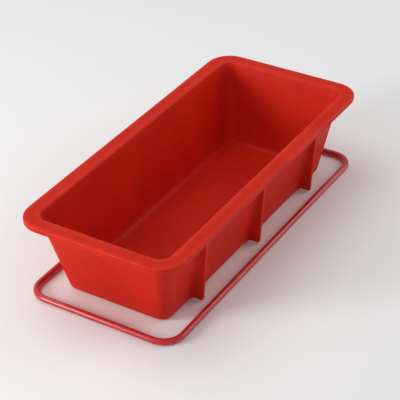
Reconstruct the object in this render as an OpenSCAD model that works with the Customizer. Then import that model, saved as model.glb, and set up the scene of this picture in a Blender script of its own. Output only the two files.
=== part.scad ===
// Soap loaf mould: a leaning-walled silicone trough with a flat rim, side fins and a loose support ring.
// X runs along the loaf, Y across it, Z up. The origin is the middle of the base's underside.

/* [Overall] */
// Length over the rim
rim_length = 280; // [230:1:340]
// Width over the rim
rim_width = 128.4; // [108:0.2:156]
// Height from the base's underside to the top of the rim
mould_height = 66; // [54:1:80]

/* [Walls] */
// Thickness of the floor and of the walls
wall_thickness = 2; // [1.6:0.1:2.6]
// How far each end wall leans out between base and rim
end_lean = 15; // [10:0.5:20]
// How far each side wall leans out between base and rim
side_lean = 11.5; // [8:0.5:16]
// Radius of the upright corners at the base
base_corner = 10; // [7:0.5:14]
// Radius of the edge between the walls and the base's underside
base_edge = 5; // [3.5:0.5:6.5]
// Radius of the upright corners just under the rim
mouth_corner = 11; // [8:0.5:14]

/* [Rim] */
// How far the rim stands out past the walls
rim_overhang = 10.2; // [9.6:0.1:14]
// Thickness of the rim's flat band
rim_thickness = 2; // [1.6:0.1:3]
// Depth of the lip at the rim's outer edge, measured from the top of the rim
lip_depth = 4.2; // [3.5:0.1:6]
// Thickness of that lip
lip_thickness = 1.6; // [1.2:0.1:2]
// Radius of the rim's corners, seen from above
rim_corner = 19; // [16:0.5:26]

/* [Fins] */
// Number of fins on each long wall
fin_count = 3; // [1:1:5]
// Distance between neighbouring fins, centre to centre
fin_spacing = 80; // [30:1:90]
// Thickness of one fin, along X
fin_thickness = 3; // [2:0.1:5]
// Height of a fin's lower end above the ground
fin_ground_gap = 1.5; // [0.5:0.5:3]
// How far a fin's lower end stands out past the base
fin_foot = 8.5; // [5:0.5:12]

/* [Ring] */
// Thickness of the support ring's round section
ring_diameter = 4.8; // [4:0.1:5]
// Thickness of the coating around its steel wire
coating_thickness = 0.8; // [0.5:0.1:1.1]
// Gap left around the ring by the lip, the fins and the seat under the rim
ring_play = 0.35; // [0.3:0.05:0.5]

/* [Hidden] */
$fn = 64;
hull_facets = 32;
// The cavity cuts this far past the top of the rim, so that nothing is left across the mouth.
over_cut = 1;

rim_underside = mould_height - rim_thickness;
end_slope = end_lean / rim_underside;
side_slope = side_lean / rim_underside;

// Half sizes of the trough's outside, on the ground and under the rim.
mouth_half_length = rim_length / 2 - rim_overhang;
mouth_half_width = rim_width / 2 - rim_overhang;
base_half_length = mouth_half_length - end_lean;
base_half_width = mouth_half_width - side_lean;

// An edge of this radius that touches both the ground and a leaning wall
// has its centre this far in from where wall and ground would meet.
function edge_inset(slope) = base_edge * (sqrt(1 + slope * slope) - slope);
// Middle points of the upright corners at the base.
corner_x = base_half_length - edge_inset(end_slope) - (base_corner - base_edge);
corner_y = base_half_width - edge_inset(side_slope) - (base_corner - base_edge);

// Thickness of a leaning wall, measured level.
end_wall_level = wall_thickness * sqrt(1 + end_slope * end_slope);
side_wall_level = wall_thickness * sqrt(1 + side_slope * side_slope);

// The ring runs just inside the lip, and the fins reach out just short of the ring.
ring_inset = lip_thickness + ring_play + ring_diameter / 2;
ring_half_length = rim_length / 2 - ring_inset;
ring_half_width = rim_width / 2 - ring_inset;
ring_corner = rim_corner - ring_inset;
wire_diameter = ring_diameter - 2 * coating_thickness;
fin_reach = ring_half_width - ring_diameter / 2 - ring_play;
fin_foot_reach = min(base_half_width + fin_foot, fin_reach);

// Calls its children once in each of the four corners of a rectangle with these half sizes.
module in_corners(half_x, half_y) {
    for (x = [-half_x, half_x], y = [-half_y, half_y])
        translate([x, y, 0])
            children();
}

module rounded_rectangle(length, width, corner) {
    square([length - 2 * corner, width], center = true);
    square([length, width - 2 * corner], center = true);
    in_corners(length / 2 - corner, width / 2 - corner)
        circle(corner);
}

// Upright disc with a rounded lower edge, resting on the level it stands at.
module rounded_foot(radius, edge) {
    rotate_extrude($fn = hull_facets) {
        square([radius - edge, edge]);
        translate([radius - edge, edge])
            intersection() {
                circle(edge, $fn = hull_facets);
                translate([0, -edge])
                    square(edge);
            }
    }
}

// Solid with leaning sides: rounded feet at its lower corners, upright discs at its upper ones.
module leaning_block(bottom, foot, edge, top, top_half_length, top_half_width, disc, disc_height) {
    hull() {
        translate([0, 0, bottom])
            in_corners(corner_x, corner_y)
                rounded_foot(foot, edge);
        translate([0, 0, top])
            in_corners(top_half_length - disc, top_half_width - disc)
                cylinder(r = disc, h = disc_height, $fn = hull_facets);
    }
}

module trough_outside() {
    leaning_block(0, base_corner, base_edge, rim_underside, mouth_half_length, mouth_half_width,
                  mouth_corner, rim_thickness / 2);
}

// The walls keep one thickness, so the cavity leans exactly as the outside does.
module cavity() {
    leaning_block(wall_thickness, base_corner - wall_thickness, base_edge - wall_thickness, mould_height,
                  mouth_half_length + end_slope * rim_thickness - end_wall_level,
                  mouth_half_width + side_slope * rim_thickness - side_wall_level,
                  mouth_corner - wall_thickness, over_cut);
}

// The flat band around the mouth, with the lip that hangs from its outer edge.
module rim() {
    difference() {
        translate([0, 0, mould_height - lip_depth])
            linear_extrude(lip_depth)
                rounded_rectangle(rim_length, rim_width, rim_corner);
        translate([0, 0, mould_height - lip_depth - over_cut])
            linear_extrude(lip_depth + over_cut - rim_thickness)
                rounded_rectangle(rim_length - 2 * lip_thickness, rim_width - 2 * lip_thickness,
                                  rim_corner - lip_thickness);
    }
}

// One fin on the +Y wall. Its inner edge runs in under the base's rounded edge and up the
// middle of the leaning wall, and its top ends inside the rim's flat band.
module fin() {
    top = mould_height - rim_thickness / 2;
    wall_middle = base_half_width - side_wall_level / 2;
    translate([-fin_thickness / 2, 0, 0])
        rotate([90, 0, 90])
            linear_extrude(fin_thickness)
                polygon([
                    [base_half_width - edge_inset(side_slope), fin_ground_gap],
                    [fin_foot_reach, fin_ground_gap],
                    [fin_reach, rim_underside],
                    [fin_reach, top],
                    [wall_middle + side_slope * top, top],
                    [wall_middle + side_slope * base_edge, base_edge]
                ]);
}

module fins() {
    for (i = [0 : fin_count - 1], side = [0, 1])
        translate([(i - (fin_count - 1) / 2) * fin_spacing, 0, 0])
            mirror([0, side, 0])
                fin();
}

module mould_body() {
    color([0.79, 0.14, 0.1])
        difference() {
            union() {
                trough_outside();
                rim();
                fins();
            }
            cavity();
        }
}

// Closed rounded rectangle of round section along the ring's middle line, lying on the ground.
module ring_loop(diameter) {
    straight_x = ring_half_length - ring_corner;
    straight_y = ring_half_width - ring_corner;
    translate([0, 0, ring_diameter / 2]) {
        for (side = [-1, 1]) {
            translate([-straight_x, side * ring_half_width, 0])
                rotate([0, 90, 0])
                    cylinder(d = diameter, h = 2 * straight_x);
            translate([side * ring_half_length, -straight_y, 0])
                rotate([-90, 0, 0])
                    cylinder(d = diameter, h = 2 * straight_y);
        }
        for (x = [0, 1], y = [0, 1])
            mirror([x, 0, 0])
                mirror([0, y, 0])
                    translate([straight_x, straight_y, 0])
                        rotate_extrude(angle = 90)
                            translate([ring_corner, 0])
                                circle(d = diameter);
    }
}

module ring_coating() {
    color([0.72, 0.1, 0.14])
        difference() {
            ring_loop(ring_diameter);
            ring_loop(wire_diameter);
        }
}

module ring_wire() {
    color([0.7, 0.71, 0.73])
        ring_loop(wire_diameter);
}

mould_body();
ring_coating();
ring_wire();
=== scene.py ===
import bpy
import math
from mathutils import Matrix, Vector


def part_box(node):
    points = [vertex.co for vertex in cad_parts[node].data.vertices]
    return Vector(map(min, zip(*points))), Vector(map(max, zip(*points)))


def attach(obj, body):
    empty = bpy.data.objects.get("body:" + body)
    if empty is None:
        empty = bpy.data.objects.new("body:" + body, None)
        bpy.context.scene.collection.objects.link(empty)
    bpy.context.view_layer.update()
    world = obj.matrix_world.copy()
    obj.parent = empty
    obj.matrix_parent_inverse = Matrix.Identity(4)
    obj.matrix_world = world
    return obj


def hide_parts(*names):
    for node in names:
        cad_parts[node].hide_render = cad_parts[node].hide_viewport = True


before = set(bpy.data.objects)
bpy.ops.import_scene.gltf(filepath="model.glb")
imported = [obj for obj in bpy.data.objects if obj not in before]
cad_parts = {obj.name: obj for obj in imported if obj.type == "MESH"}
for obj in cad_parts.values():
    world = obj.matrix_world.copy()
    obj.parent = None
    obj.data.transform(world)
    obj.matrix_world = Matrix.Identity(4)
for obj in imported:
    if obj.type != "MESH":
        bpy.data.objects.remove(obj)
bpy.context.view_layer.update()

mm = 0.001
mouldLow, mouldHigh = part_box("mould_body")
ringLow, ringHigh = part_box("ring_coating")
print("frame loaded, object box", [round(v / mm, 1) for v in mouldHigh - mouldLow], "mm")


def makeActive(piece):
    bpy.ops.object.select_all(action="DESELECT")
    piece.select_set(True)
    bpy.context.view_layer.objects.active = piece


def nameIt(piece, name):
    piece.name = name
    piece.data.name = name
    return piece


def applyPlace(piece):
    makeActive(piece)
    bpy.ops.object.transform_apply(location=True, rotation=True, scale=True)


def applyModifier(piece, kind, **settings):
    makeActive(piece)
    modifier = piece.modifiers.new(kind.lower(), kind)
    for key, value in settings.items():
        setattr(modifier, key, value)
    bpy.ops.object.modifier_apply(modifier=modifier.name)


def editMode(piece, kind="VERT", action="SELECT"):
    makeActive(piece)
    bpy.ops.object.mode_set(mode="EDIT")
    bpy.ops.mesh.select_mode(type=kind)
    bpy.ops.mesh.select_all(action=action)


def objectMode():
    bpy.ops.object.mode_set(mode="OBJECT")


def selectVerts(piece, test):
    # picks vertices by number or place, and leaves the piece in edit mode with them selected
    editMode(piece, "VERT", "DESELECT")
    objectMode()
    for vertex in piece.data.vertices:
        vertex.select = test(vertex)
    bpy.ops.object.mode_set(mode="EDIT")


def selectEdges(piece, test):
    editMode(piece, "EDGE", "DESELECT")
    objectMode()
    for edge in piece.data.edges:
        start, end = [piece.data.vertices[v].co for v in edge.vertices]
        edge.select = test(start, end)
    bpy.ops.object.mode_set(mode="EDIT")


def turnOutwards(piece):
    editMode(piece)
    bpy.ops.mesh.normals_make_consistent(inside=False)
    objectMode()


def smooth(piece, degrees):
    makeActive(piece)
    bpy.ops.object.shade_smooth_by_angle(angle=math.radians(degrees))


def roundedLoop(halfX, halfY, corner, z, shape):
    # a rounded rectangle of edges: a plane whose corners are bevelled and whose straight sides are cut
    bpy.ops.mesh.primitive_plane_add(size=1, location=(0, 0, z))
    loop = bpy.context.object
    loop.scale = (2 * halfX, 2 * halfY, 1)
    applyPlace(loop)
    editMode(loop)
    bpy.ops.mesh.bevel(offset=corner, segments=shape["cornerSteps"], affect="VERTICES")
    bpy.ops.mesh.delete(type="ONLY_FACE")
    objectMode()
    level = 0.0001 * mm            # edges that run along an axis differ by less than this
    for axis, cuts in ((1, shape["longCuts"]), (0, shape["shortCuts"])):
        selectEdges(loop, lambda a, b: abs(a[axis] - b[axis]) < level and (a - b).length > corner)
        bpy.ops.mesh.subdivide(number_cuts=cuts)
        objectMode()
    return loop


# ---- mould: one moulding, lofted from rounded outlines, from the base up and round into the cavity

mould = {
    "wall": 2.0 * mm,
    "endLean": 15.0 * mm,          # each wall leans out this far between base and rim
    "sideLean": 11.5 * mm,
    "overhang": 10.2 * mm,         # rim past the walls
    "rimThickness": 2.0 * mm,
    "lipDepth": 4.2 * mm,
    "lipThickness": 1.6 * mm,
    "rimCorner": 19.0 * mm,
    "mouthCorner": 11.0 * mm,
    "baseCorner": 10.0 * mm,
    "baseEdge": 5.0 * mm,
    "floorEdge": 4.5 * mm,
    "rimEdge": 0.9 * mm,           # rounding of the rim's outer top edge
    "mouthEdge": 1.7 * mm,         # rounding where the rim turns down into the cavity
    "underRim": 1.2 * mm,          # fillet between wall and rim underneath
    "filletOut": 1.05,             # that fillet's reach along the rim, in its own radius
    "channelRound": ((0.8 * mm, 0), (0.25 * mm, 0.2 * mm), (0, 0.8 * mm)),   # inset and drop
    "crown": ((0.25, 2), (0.6, 3)),          # share of the band's width, and its rise in hairs
    "crownCorner": 1.05,
    "hair": 0.04 * mm,             # keeps two neighbouring outlines out of one plane
    "flatInset": 2.0 * mm,         # last outline before the flat of the base or the floor
    "wallStart": 8.0 * mm,         # height of the outer wall's lowest row
    "wallEnd": 1.6,                # its highest row, in fillets below the rim
    "cavityStart": 5.0 * mm,       # depth of the cavity wall's highest row
    "wallRows": 9,
    "cornerSteps": 8,
    "longCuts": 27,
    "shortCuts": 11,
    "edgeSteps": 6,                # rows around the base edge, the lip's edge and the floor
    "filletSteps": 3,
    "rimEdgeSteps": 4,
    "mouthEdgeSteps": 5,
    "baseTurn": 76,                # degrees that each rounding turns, up to the leaning wall
    "filletTurn": 78,
    "floorTurn": 74,
    "smoothAngle": 40,
}

rimHalfX = mouldHigh.x
rimHalfY = mouldHigh.y
mouldTop = mouldHigh.z
rimUnder = mouldTop - mould["rimThickness"]
endSlope = mould["endLean"] / rimUnder
sideSlope = mould["sideLean"] / rimUnder
baseHalfX = rimHalfX - mould["overhang"] - mould["endLean"]
baseHalfY = rimHalfY - mould["overhang"] - mould["sideLean"]
wallX = mould["wall"] * math.hypot(1, endSlope)        # wall thickness, measured level
wallY = mould["wall"] * math.hypot(1, sideSlope)


def outsideAt(z):
    # half sizes of the trough's outer wall at this height
    return baseHalfX + endSlope * z, baseHalfY + sideSlope * z


mouthHalfX = outsideAt(mouldTop)[0] - wallX
mouthHalfY = outsideAt(mouldTop)[1] - wallY
mouthInner = mould["mouthCorner"] - mould["wall"]


def edgeInset(radius, slope):
    # how far in a rounding's centre lies from where flat and leaning wall would meet
    return radius * (math.hypot(1, slope) - slope)


def grown(halfX, halfY, corner, out, z):
    # the outline that lies this far outside a rounded rectangle
    return halfX + out, halfY + out, corner + out, z


def arc(radius, steps, start, end):
    # (across, up) from the arc's centre, angles in degrees from straight down
    for i in range(steps + 1):
        angle = math.radians(start + (end - start) * i / steps)
        yield radius * math.sin(angle), -radius * math.cos(angle)


def rows(first, last, count):
    return [first + (last - first) * i / (count - 1) for i in range(count)]


def outsideLevels():
    # underside and base edge
    m = mould
    edge = m["baseEdge"]
    flat = (baseHalfX - edgeInset(edge, endSlope), baseHalfY - edgeInset(edge, sideSlope),
            m["baseCorner"] - edge)
    levels = [grown(*flat, -m["flatInset"], m["hair"])]
    for across, up in arc(edge, m["edgeSteps"], 0, m["baseTurn"]):
        levels.append(grown(*flat, across, edge + up))
    # outer wall
    for z in rows(m["wallStart"], rimUnder - m["underRim"] * m["wallEnd"], m["wallRows"]):
        corner = m["baseCorner"] + (m["mouthCorner"] - m["baseCorner"]) * z / rimUnder
        levels.append((*outsideAt(z), corner, z))
    # fillet under the rim
    for across, up in arc(m["underRim"], m["filletSteps"], m["filletTurn"], 0):
        out = m["underRim"] * m["filletOut"] - across
        levels.append(grown(*outsideAt(rimUnder), m["mouthCorner"], out, rimUnder - m["underRim"] - up))
    return levels


def rimLevels():
    m = mould
    # out along the rim's underside to the channel side of the lip
    x, y = outsideAt(rimUnder)
    thickness = m["lipThickness"]
    inner = (rimHalfX - thickness, rimHalfY - thickness, m["rimCorner"] - thickness)
    levels = [((x + inner[0]) / 2, (y + inner[1]) / 2, (m["mouthCorner"] + inner[2]) / 2,
               rimUnder + m["hair"])]
    for inset, drop in m["channelRound"]:
        levels.append(grown(*inner, -inset, rimUnder - drop))
    # rounded lower edge of the lip
    half = thickness / 2
    for across, up in arc(half, m["edgeSteps"], -90, 90):
        levels.append(grown(*inner, half + across, mouldTop - m["lipDepth"] + half + up))
    # outer face and the rim's top edge
    edge = m["rimEdge"]
    for across, up in arc(edge, m["rimEdgeSteps"], 90, 180):
        levels.append(grown(rimHalfX, rimHalfY, m["rimCorner"], across - edge, mouldTop - edge + up))
    # flat band, very slightly crowned
    for share, rise in m["crown"]:
        out = share * (rimHalfX - edge - mouthHalfX - m["mouthEdge"])
        levels.append((rimHalfX - edge - out, rimHalfY - edge - out,
                       m["rimCorner"] - out * m["crownCorner"], mouldTop + rise * m["hair"]))
    return levels


def cavityLevels():
    m = mould
    levels = []
    # turn down into the cavity
    edge = m["mouthEdge"]
    for across, up in arc(edge, m["mouthEdgeSteps"], 180, 180 + m["filletTurn"]):
        levels.append(grown(mouthHalfX, mouthHalfY, mouthInner, edge + across, mouldTop - edge + up))
    # cavity wall
    radius = m["floorEdge"]
    for z in rows(mouldTop - m["cavityStart"], m["wall"] + radius, m["wallRows"]):
        x, y = outsideAt(z)
        corner = mouthInner - (m["mouthCorner"] - m["baseCorner"]) * (mouldTop - z) / rimUnder
        levels.append((x - wallX, y - wallY, corner, z))
    # fillet around the floor, and the floor
    x, y = outsideAt(0)
    flat = (x - wallX + endSlope * m["wall"] - edgeInset(radius, endSlope),
            y - wallY + sideSlope * m["wall"] - edgeInset(radius, sideSlope),
            m["baseCorner"] - m["wall"] - radius)
    for across, up in arc(radius, m["edgeSteps"], m["floorTurn"], 0):
        levels.append(grown(*flat, across, m["wall"] + radius + up))
    levels.append(grown(*flat, -m["flatInset"], m["wall"] - m["hair"]))
    return levels


def selectOutlines(shell, count, first, last):
    selectVerts(shell, lambda vertex: first * count <= vertex.index < last * count)


def buildShell():
    # joins the outlines in order, bridges each to the next one and closes both ends
    levels = outsideLevels() + rimLevels() + cavityLevels()
    loops = [roundedLoop(*level, mould) for level in levels]
    count = len(loops[0].data.vertices)
    for loop in loops[1:]:
        makeActive(loops[0])
        loop.select_set(True)
        bpy.ops.object.join()
    shell = nameIt(loops[0], "mouldShell")
    for i in range(len(levels) - 1):
        selectOutlines(shell, count, i, i + 2)
        bpy.ops.mesh.bridge_edge_loops()
        objectMode()
    for i in (0, len(levels) - 1):
        selectOutlines(shell, count, i, i + 1)
        bpy.ops.mesh.edge_face_add()
        objectMode()
    turnOutwards(shell)
    paintHighlightWearAndDust(shell, levels, count)
    return shell


highlightWearAndDust = {
    "rimEdge": 1.0,                # how strongly each part of the mould gets the painted highlight, which also stands for light wear, from 0 to 1
    "lipEdge": 0.8,
    "mouthEdge": 0.9,
    "band": 0.25,
    "elsewhere": 0.1,
    "rimShare": 0.8,               # share of each rounding that gets the painted highlight
    "mouthShare": 0.5,
    "dustFrom": 0.2 * mm,          # dust lies between this height over the floor and the fillet's top
    "dustBelow": 1.7,              # and this far below the rim, in its fillets
}


def highlightWearAndDustAt(halfX, halfY, corner, z):
    # how much painted highlight (also standing for light wear) and how much dust an outline gets: outward
    # edges get the painted highlight, inward corners hold dust
    m, w = mould, highlightWearAndDust
    deep = mouldTop - z
    onLip = halfX > rimHalfX - m["lipThickness"] - m["hair"]
    onMouth = halfX < mouthHalfX + m["mouthEdge"] + m["hair"]
    inside = halfX < outsideAt(z)[0] - m["wall"] / 2
    highlightAndWear = w["elsewhere"]
    if onLip and deep < m["rimEdge"] * w["rimShare"]:
        highlightAndWear = w["rimEdge"]
    elif onLip and deep > m["lipDepth"] - m["lipThickness"] / 2:
        highlightAndWear = w["lipEdge"]
    elif onMouth and deep < m["mouthEdge"] * w["mouthShare"]:
        highlightAndWear = w["mouthEdge"]
    elif deep < m["hair"]:
        highlightAndWear = w["band"]
    inFloorCorner = inside and m["wall"] + w["dustFrom"] < z < m["wall"] + m["floorEdge"]
    underBand = m["rimThickness"] - 2 * m["hair"] < deep < m["rimThickness"] + m["underRim"] * w["dustBelow"]
    dusty = inFloorCorner or (underBand and not onLip and not inside)
    return highlightAndWear, float(dusty)


def paintHighlightWearAndDust(shell, levels, count):
    makeActive(shell)
    # red channel: painted highlight along the edges and rim band, also standing for light wear; green
    # channel: dust
    bpy.ops.geometry.color_attribute_add(name="highlightWearAndDust", domain="POINT", data_type="FLOAT_COLOR",
                                         color=(0, 0, 0, 1))
    paint = shell.data.color_attributes["highlightWearAndDust"].data
    for i, level in enumerate(levels):
        highlightAndWear, dusty = highlightWearAndDustAt(*level)
        for vertex in range(i * count, (i + 1) * count):
            paint[vertex].color = (highlightAndWear, dusty, 0, 1)


softness = {
    "depth": 0.35 * mm,            # how uneven the soft walls are
    "span": 0.07,                  # size of the waves, in metres
    "foot": (3 * mm, 15 * mm),     # the walls are flat below the first height and soft above the second
    "rim": (52 * mm, 60 * mm),     # and grow stiffer again between these two
    "rimStiffness": 0.6,
}


def shareOf(value, limits):
    low, high = limits
    return min(1, max(0, (value - low) / (high - low)))


def softenShell(shell):
    # one level of subdivision, then the slight unevenness of a soft wall
    s = softness
    applyModifier(shell, "SUBSURF", levels=1, render_levels=1)
    walls = shell.vertex_groups.new(name="softWalls")
    for vertex in shell.data.vertices:
        z = vertex.co.z
        soft = shareOf(z, s["foot"]) * (1 - s["rimStiffness"] * shareOf(z, s["rim"]))
        walls.add([vertex.index], soft, "REPLACE")
    waves = bpy.data.textures.new("wallWaves", "CLOUDS")
    waves.noise_scale = s["span"]
    waves.noise_depth = 0
    applyModifier(shell, "DISPLACE", texture=waves, texture_coords="LOCAL", mid_level=0.5,
                  strength=s["depth"], vertex_group="softWalls")


fin = {
    "count": 3,
    "spacing": 80 * mm,
    "thickness": 3 * mm,
    "groundGap": 1.5 * mm,
    "foot": 8.5 * mm,              # how far the lower end stands out past the base
    "play": 0.35 * mm,             # room left for the ring to pass
    "root": 1.4 * mm,              # fillet along the wall
    "rootRows": (1, 0.7, 0.4, 0.18, 0),      # its rows, from the far end to the wall
    "edge": 0.7 * mm,
    "edgeSteps": 3,
    "edgeAngle": 60,
    "sunk": 1 * mm,                # how deep the root is set into the wall
    "behind": -0.1 * mm,           # what lies further in than this is inside the wall
}


def moveCorner(plate, outer, upper, y, z):
    # a unit block's corners are told apart by their signs, so the outer upper one goes first
    selectVerts(plate, lambda vertex: (vertex.co.y > 0) == outer and (vertex.co.z > 0) == upper)
    fromY, fromZ = outer - 0.5, upper - 0.5
    bpy.ops.transform.translate(value=(0, y - fromY, z - fromZ))
    objectMode()


def widen(flare):
    # spreads what is selected to the fin's thickness and a flare on each side
    bpy.ops.transform.resize(value=(1 + 2 * flare / fin["thickness"], 1, 1), center_override=(0, 0, 0))


def buildFin():
    # a plate on the +Y wall, its root flared where it meets the wall
    f = fin
    reach = ringHigh.y - (ringHigh.z - ringLow.z) - f["play"]
    low = f["groundGap"]
    top = mouldTop - mould["rimThickness"] / 2
    bpy.ops.mesh.primitive_cube_add(size=1, location=(0, 0, 0))
    plate = nameIt(bpy.context.object, "sideFin")
    plate.scale = (f["thickness"], 1, 1)
    applyPlace(plate)
    moveCorner(plate, True, True, reach, top)
    moveCorner(plate, False, True, outsideAt(top)[1] - f["sunk"], top)
    moveCorner(plate, True, False, baseHalfY + f["foot"], low)
    moveCorner(plate, False, False, outsideAt(low)[1] - f["sunk"], low)
    wallFoot = Vector((0, baseHalfY, 0))
    across = Vector((0, 1, -sideSlope)).normalized()
    for share in f["rootRows"]:
        depth = share * f["root"]
        editMode(plate)
        bpy.ops.mesh.bisect(plane_co=wallFoot + across * depth, plane_no=across)
        widen(f["root"] - math.sqrt(f["root"] ** 2 - (f["root"] - depth) ** 2))
        objectMode()
    selectVerts(plate, lambda vertex: (vertex.co - wallFoot).dot(across) < f["behind"])
    widen(f["root"])
    objectMode()
    applyModifier(plate, "BEVEL", width=f["edge"], segments=f["edgeSteps"], limit_method="ANGLE",
                  angle_limit=math.radians(f["edgeAngle"]))
    return plate


def buildFins():
    f = fin
    first = buildFin()
    plates = []
    for side in (0, 1):
        for i in range(f["count"]):
            makeActive(first)
            bpy.ops.object.duplicate()
            plate = bpy.context.object
            plate.rotation_euler.z = side * math.pi
            plate.location.x = (i - (f["count"] - 1) / 2) * f["spacing"]
            applyPlace(plate)
            plates.append(plate)
    bpy.data.objects.remove(first)
    makeActive(plates[0])
    for plate in plates:
        plate.select_set(True)
    bpy.ops.object.join()
    return nameIt(plates[0], "sideFins")


def buildMould():
    shell = buildShell()
    softenShell(shell)
    fins = buildFins()
    applyModifier(shell, "BOOLEAN", object=fins, operation="UNION", solver="EXACT")
    bpy.data.objects.remove(fins)
    smooth(shell, mould["smoothAngle"])
    return nameIt(shell, "siliconeMould")


# ---- support ring: one closed bar of round section, swept round a rounded rectangle

ring = {
    "corner": 14.65 * mm,          # at the bar's middle line
    "cornerSteps": 20,
    "longCuts": 40,
    "shortCuts": 16,
    "roundness": 7,
    "weld": 0.01 * mm,
    "smoothAngle": 60,
}


def buildRing():
    half = (ringHigh.z - ringLow.z) / 2
    loop = roundedLoop(ringHigh.x - half, ringHigh.y - half, ring["corner"], ringLow.z + half, ring)
    makeActive(loop)
    bpy.ops.object.convert(target="CURVE")
    bar = bpy.context.object
    bar.data.bevel_depth = half
    bar.data.bevel_resolution = ring["roundness"]
    bpy.ops.object.convert(target="MESH")
    bar = nameIt(bpy.context.object, "supportRing")
    editMode(bar)
    bpy.ops.mesh.remove_doubles(threshold=ring["weld"])
    objectMode()
    turnOutwards(bar)
    smooth(bar, ring["smoothAngle"])
    return bar


mouldPiece = buildMould()
print("mould built,", len(mouldPiece.data.polygons), "faces")
ringPiece = buildRing()
print("ring built,", len(ringPiece.data.polygons), "faces")


# ---- materials

def fill(tree, node, **values):
    # gives a node its inputs: a socket is linked, and anything else is set
    # a name is the input's own with underscores for spaces, or "in" and its number
    for key, value in values.items():
        socket = node.inputs[int(key[2:])] if key.startswith("in") else node.inputs[key.replace("_", " ")]
        if isinstance(value, bpy.types.NodeSocket):
            tree.links.new(value, socket)
        else:
            socket.default_value = value


def addNode(tree, kind, settings=None, **values):
    node = tree.nodes.new(kind)
    for key, value in (settings or {}).items():
        setattr(node, key, value)
    fill(tree, node, **values)
    return node


def blendColours(tree, share, first, second):
    mix = addNode(tree, "ShaderNodeMix", {"data_type": "RGBA"}, in0=share, in6=first, in7=second)
    return mix.outputs[2]


def combine(tree, operation, first, second):
    node = addNode(tree, "ShaderNodeMath", {"operation": operation}, in0=first, in1=second)
    return node.outputs[0]


def spread(tree, value, low, high, toLow, toHigh):
    # maps a stretch of a value onto another, held at both ends
    return addNode(tree, "ShaderNodeMapRange", Value=value, From_Min=low, From_Max=high,
                   To_Min=toLow, To_Max=toHigh).outputs[0]


def noise(tree, place, scale, detail, **values):
    return addNode(tree, "ShaderNodeTexNoise", Vector=place, Scale=scale, Detail=detail, **values)


def newGroup(name, amounts, output):
    # a shared effect: a place and some amounts go in, and one mask or height comes out
    tree = bpy.data.node_groups.new(name, "ShaderNodeTree")
    tree.interface.new_socket(name="Vector", in_out="INPUT", socket_type="NodeSocketVector")
    for label in amounts:
        tree.interface.new_socket(name=label, in_out="INPUT", socket_type="NodeSocketFloat")
    tree.interface.new_socket(name=output, in_out="OUTPUT", socket_type="NodeSocketFloat")
    return tree, tree.nodes.new("NodeGroupInput").outputs, tree.nodes.new("NodeGroupOutput")


def useGroup(tree, group, **values):
    return addNode(tree, "ShaderNodeGroup", {"node_tree": group}, **values).outputs[0]


effects = {
    "mottle": (0.32, 0.68),        # stretch of the noise that becomes the mask
    "smear": (0.48, 0.72),
    "smearBend": 0.05,
    "smearBendScale": 9,
    "speck": (0.05, 0.16),
    "speckPatches": (0.55, 0.7),
    "patchScale": 45,
    "grainScale": 2600,
    "poreScale": 1500,
    "waveScale": 38,
}


def buildMottle():
    # soft cloudy mask, for colour that drifts over a moulding
    tree, given, result = newGroup("softMottle", ["Size"], "Mask")
    clouds = noise(tree, given["Vector"], given["Size"], 3, Roughness=0.55)
    fill(tree, result, Mask=spread(tree, clouds.outputs[0], *effects["mottle"], 0, 1))
    return tree


def buildSkin():
    # moulded skin: fine grain from the tool, and long shallow waves that bend the highlights
    tree, given, result = newGroup("mouldedSkin", ["Grain", "Waves"], "Height")
    grain = noise(tree, given["Vector"], effects["grainScale"], 2)
    pores = addNode(tree, "ShaderNodeTexVoronoi", Vector=given["Vector"], Scale=effects["poreScale"])
    waves = noise(tree, given["Vector"], effects["waveScale"], 1)
    fine = combine(tree, "ADD", grain.outputs[0], pores.outputs[0])
    fine = combine(tree, "MULTIPLY", fine, given["Grain"])
    slow = combine(tree, "MULTIPLY", waves.outputs[0], given["Waves"])
    fill(tree, result, Height=combine(tree, "ADD", fine, slow))
    return tree


def buildSmears():
    # where hands and water have dulled or polished the surface
    tree, given, result = newGroup("handlingSmears", ["Size"], "Mask")
    bend = noise(tree, given["Vector"], effects["smearBendScale"], 1)
    bent = addNode(tree, "ShaderNodeVectorMath", {"operation": "MULTIPLY_ADD"}, in0=bend.outputs[1],
                   in1=[effects["smearBend"]] * 3, in2=given["Vector"])
    smear = noise(tree, bent.outputs[0], given["Size"], 4, Roughness=0.62, Distortion=0.6)
    fill(tree, result, Mask=spread(tree, smear.outputs[0], *effects["smear"], 0, 1))
    return tree


def buildSpecks():
    # sparse specks of dust
    tree, given, result = newGroup("dustSpecks", ["Size"], "Mask")
    cells = addNode(tree, "ShaderNodeTexVoronoi", Vector=given["Vector"], Scale=given["Size"])
    dots = spread(tree, cells.outputs["Distance"], *effects["speck"], 1, 0)
    patches = noise(tree, given["Vector"], effects["patchScale"], 1)
    patches = spread(tree, patches.outputs[0], *effects["speckPatches"], 0, 1)
    fill(tree, result, Mask=combine(tree, "MULTIPLY", dots, patches))
    return tree


mottle = buildMottle()
skin = buildSkin()
smears = buildSmears()
specks = buildSpecks()


def newMaterial(name):
    material = bpy.data.materials.new(name)
    material.use_nodes = True
    tree = material.node_tree
    place = tree.nodes.new("ShaderNodeTexCoord").outputs["Object"]
    return material, tree, tree.nodes["Principled BSDF"], place


def skinBump(tree, place, settings):
    height = useGroup(tree, skin, Vector=place, Grain=settings["grain"], Waves=settings["waves"])
    bump = addNode(tree, "ShaderNodeBump", Strength=settings["bumpStrength"], Distance=settings["bump"],
                   Height=height)
    return bump.outputs[0]


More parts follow.
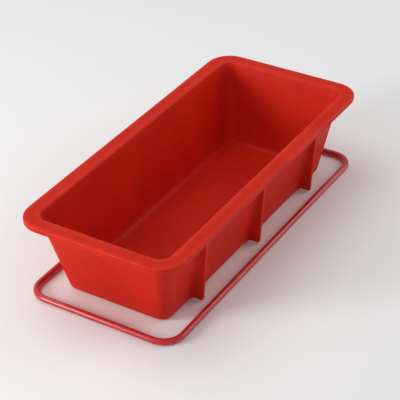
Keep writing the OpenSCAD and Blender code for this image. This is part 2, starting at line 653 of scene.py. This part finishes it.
silicone = {
    "red": (0.63, 0.018, 0.005, 1),
    "deepRed": (0.53, 0.012, 0.004, 1),
    # lighter red painted along the edges and rim band as a highlight, also standing for light wear
    "highlightAndWear": (0.86, 0.055, 0.030, 1),
    "dust": (0.70, 0.30, 0.24, 1),
    "driftSize": 22,
    "handledSize": 30,
    "unevenSize": 120,
    "speckSize": 420,
    "specks": 0.35,                # how strongly single specks of dust show
    "highlightStrength": 0.55,              # how far the edges go towards the painted highlight colour
    "leastHighlight": 0.45,             # painted highlight in the places that the uneven mask spares
    "cornerDust": 0.02,
    "roughness": 0.52,
    "polished": 0.42,
    "edgePolish": 0.2,             # how much smoother an edge under the painted highlight is, from light wear
    "grain": 0.35,
    "waves": 1.0,
    "bump": 0.00016,
    "bumpStrength": 0.6,
}


def siliconeMaterial():
    s = silicone
    material, tree, shader, place = newMaterial("redSilicone")
    drift = useGroup(tree, mottle, Vector=place, Size=s["driftSize"])
    colour = blendColours(tree, drift, s["red"], s["deepRed"])
    painted = addNode(tree, "ShaderNodeAttribute", {"attribute_name": "highlightWearAndDust"}).outputs["Color"]
    painted = addNode(tree, "ShaderNodeSeparateColor", Color=painted)
    uneven = spread(tree, useGroup(tree, smears, Vector=place, Size=s["unevenSize"]), 0, 1, s["leastHighlight"], 1)
    # painted highlight along the rim, lip and mouth edges, mixed towards the lighter red
    highlightAndWear = combine(tree, "MULTIPLY", painted.outputs[0], uneven)
    highlightAndWear = combine(tree, "MULTIPLY", highlightAndWear, s["highlightStrength"])
    colour = blendColours(tree, highlightAndWear, colour, s["highlightAndWear"])
    dust = useGroup(tree, specks, Vector=place, Size=s["speckSize"])
    dust = combine(tree, "MULTIPLY", dust, s["specks"])
    settled = combine(tree, "MULTIPLY", painted.outputs[1], uneven)
    settled = combine(tree, "MULTIPLY", settled, s["cornerDust"])
    colour = blendColours(tree, combine(tree, "MAXIMUM", dust, settled), colour, s["dust"])
    handled = useGroup(tree, smears, Vector=place, Size=s["handledSize"])
    roughness = spread(tree, handled, 0, 1, s["roughness"], s["polished"])
    polish = combine(tree, "MULTIPLY", highlightAndWear, s["edgePolish"])
    fill(tree, shader, Base_Color=colour, Roughness=combine(tree, "SUBTRACT", roughness, polish),
         Normal=skinBump(tree, place, s), IOR=1.41, Specular_IOR_Level=0.16,
         Subsurface_Weight=0.12, Subsurface_Scale=0.004, Subsurface_Radius=(1.0, 0.12, 0.06))
    return material


coating = {
    "red": (0.59, 0.018, 0.022, 1),
    "deepRed": (0.49, 0.012, 0.015, 1),
    "driftSize": 35,
    "handledSize": 55,
    "roughness": 0.24,
    "dulled": 0.38,
    "grain": 0.25,
    "waves": 1.2,
    "bump": 0.00008,
    "bumpStrength": 0.5,
}


def coatingMaterial():
    c = coating
    material, tree, shader, place = newMaterial("glossyRingCoating")
    drift = useGroup(tree, mottle, Vector=place, Size=c["driftSize"])
    handled = useGroup(tree, smears, Vector=place, Size=c["handledSize"])
    fill(tree, shader, Base_Color=blendColours(tree, drift, c["red"], c["deepRed"]),
         Roughness=spread(tree, handled, 0, 1, c["roughness"], c["dulled"]),
         Normal=skinBump(tree, place, c), IOR=1.5, Coat_Weight=0.25, Coat_Roughness=0.12)
    return material


wire = {
    "steel": (0.56, 0.56, 0.57, 1),
    "dark": (0.34, 0.34, 0.35, 1),
    "driftSize": 180,
    "roughness": 0.3,
    "worn": 0.48,
    "grain": 0.5,
    "waves": 0.5,
    "bump": 0.00006,
    "bumpStrength": 0.4,
}


def wireMaterial():
    w = wire
    material, tree, shader, place = newMaterial("drawnSteelWire")
    drift = useGroup(tree, mottle, Vector=place, Size=w["driftSize"])
    fill(tree, shader, Base_Color=blendColours(tree, drift, w["steel"], w["dark"]),
         Roughness=spread(tree, drift, 0, 1, w["roughness"], w["worn"]),
         Normal=skinBump(tree, place, w), Metallic=1)
    return material


def dress(piece, material):
    piece.data.materials.clear()
    piece.data.materials.append(material)


dress(mouldPiece, siliconeMaterial())
dress(ringPiece, coatingMaterial())
dress(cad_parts["ring_wire"], wireMaterial())
print("materials done")

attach(mouldPiece, "mould")
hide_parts("mould_body")
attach(ringPiece, "ring")
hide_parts("ring_coating")


# ---- table, light and camera

studio = {
    "tableSize": 8,
    "tableDrop": 0.1 * mm,         # keeps the table clear of the base
    "tableColour": (0.93, 0.93, 0.93, 1),
    "tableRoughness": 0.7,
    "sky": 0.45,
    "around": 212.2,               # camera's bearing from the object, degrees from +X
    "above": 33.8,
    "distance": 1.063,
    "tilt": -1.45,
    "lens": 128,
    "aim": (0, 0, 0.022),
}

lamps = {                          # square soft lights, placed as the camera sees them
    "sideLight": {"size": 0.35, "power": 6.6, "distance": 1.1, "across": 1.0, "beyond": -0.4, "up": 0.38},
    "topLight": {"size": 0.8, "power": 3.0, "distance": 1.1, "across": 0.35, "beyond": 0.25, "up": 1.0},
    "fillLight": {"size": 0.8, "power": 3.4, "distance": 1.2, "across": -0.8, "beyond": 0.2, "up": 0.4},
}


def buildTable():
    bpy.ops.mesh.primitive_plane_add(size=studio["tableSize"], location=(0, 0, -studio["tableDrop"]))
    table = nameIt(bpy.context.object, "table")
    material, tree, shader, place = newMaterial("paleTable")
    fill(tree, shader, Base_Color=studio["tableColour"], Roughness=studio["tableRoughness"])
    dress(table, material)


def pointAt(thing, place, target, tilt=0):
    back = (Vector(place) - Vector(target)).normalized()
    right = Vector((0, 0, 1)).cross(back).normalized()
    turn = math.radians(tilt)
    right = right * math.cos(turn) + back.cross(right) * math.sin(turn)
    axes = Matrix((right, back.cross(right), back)).transposed()
    thing.matrix_world = Matrix.Translation(place) @ axes.to_4x4()


def addToScene(name, data):
    thing = bpy.data.objects.new(name, data)
    bpy.context.scene.collection.objects.link(thing)
    return thing


def buildCamera():
    around, above = math.radians(studio["around"]), math.radians(studio["above"])
    level = math.cos(above)
    toCamera = Vector((level * math.cos(around), level * math.sin(around), math.sin(above)))
    camera = addToScene("camera", bpy.data.cameras.new("camera"))
    camera.data.lens = studio["lens"]
    camera.data.sensor_width = 36
    pointAt(camera, Vector(studio["aim"]) + toCamera * studio["distance"], studio["aim"], studio["tilt"])
    bpy.context.scene.camera = camera


def addLamp(name, size, power, distance, across, beyond, up):
    around = math.radians(studio["around"])
    left = Vector((math.sin(around), -math.cos(around), 0))
    back = Vector((-math.cos(around), -math.sin(around), 0))
    lamp = addToScene(name, bpy.data.lights.new(name, "AREA"))
    lamp.data.size = size
    lamp.data.energy = power
    toLamp = left * across + back * beyond + Vector((0, 0, up))
    pointAt(lamp, toLamp.normalized() * distance, studio["aim"])


def buildLight():
    for name, settings in lamps.items():
        addLamp(name, **settings)
    world = bpy.data.worlds.new("softRoom")
    world.use_nodes = True
    fill(world.node_tree, world.node_tree.nodes["Background"], Color=(1, 1, 1, 1), Strength=studio["sky"])
    bpy.context.scene.world = world


buildTable()
buildCamera()
buildLight()
bpy.context.scene.view_settings.view_transform = "Standard"
print("table, camera and light set")
